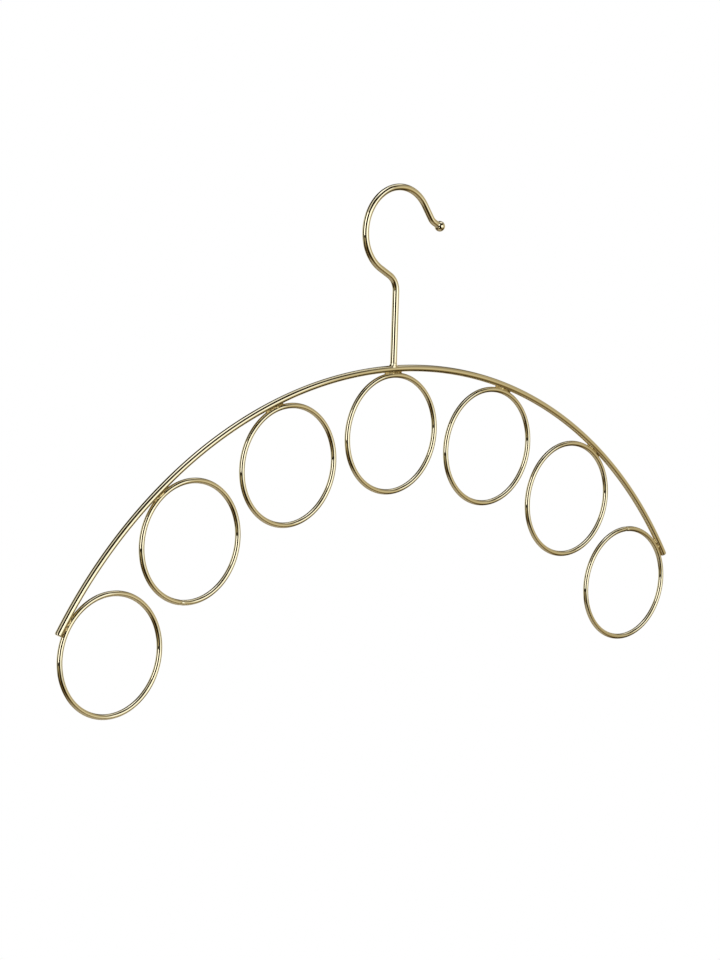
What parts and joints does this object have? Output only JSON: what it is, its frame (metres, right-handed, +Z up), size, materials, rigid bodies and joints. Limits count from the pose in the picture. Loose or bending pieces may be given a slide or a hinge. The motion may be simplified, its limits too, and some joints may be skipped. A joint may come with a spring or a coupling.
{
  "type": "scarf hanger",
  "caption": "Wire hanger with an open hook, an arched shoulder bar and a row of closed rings brazed under it for scarves and ties.",
  "frame": {"origin": "the place under the crown of the hook that bears on the closet rod, in the middle of the wire", "axes": "+Z up, +X along the shoulder bar towards the hook's tip, +Y away from the viewer, across the wire"},
  "size_m": [0.4422, 0.0058, 0.2665],
  "materials": {
    "gold_plated_wire": "polished pale gold plating on drawn steel wire",
    "gold_plated_braze": "pale gold plating over braze, slightly darker and less even than the wire"
  },
  "bodies": {
    "root": {"shoulder_bar": "gold_plated_wire", "hook_wire": "gold_plated_wire", "hook_tip_ball": "gold_plated_wire", "ring_1": "gold_plated_wire", "ring_2": "gold_plated_wire", "ring_3": "gold_plated_wire", "ring_4": "gold_plated_wire", "ring_5": "gold_plated_wire", "ring_6": "gold_plated_wire", "ring_7": "gold_plated_wire", "ring_weld_1": "gold_plated_braze", "ring_weld_2": "gold_plated_braze", "ring_weld_3": "gold_plated_braze", "ring_weld_4": "gold_plated_braze", "ring_weld_5": "gold_plated_braze", "ring_weld_6": "gold_plated_braze", "ring_weld_7": "gold_plated_braze", "hook_weld": "gold_plated_braze"}
  },
  "joints": []
}
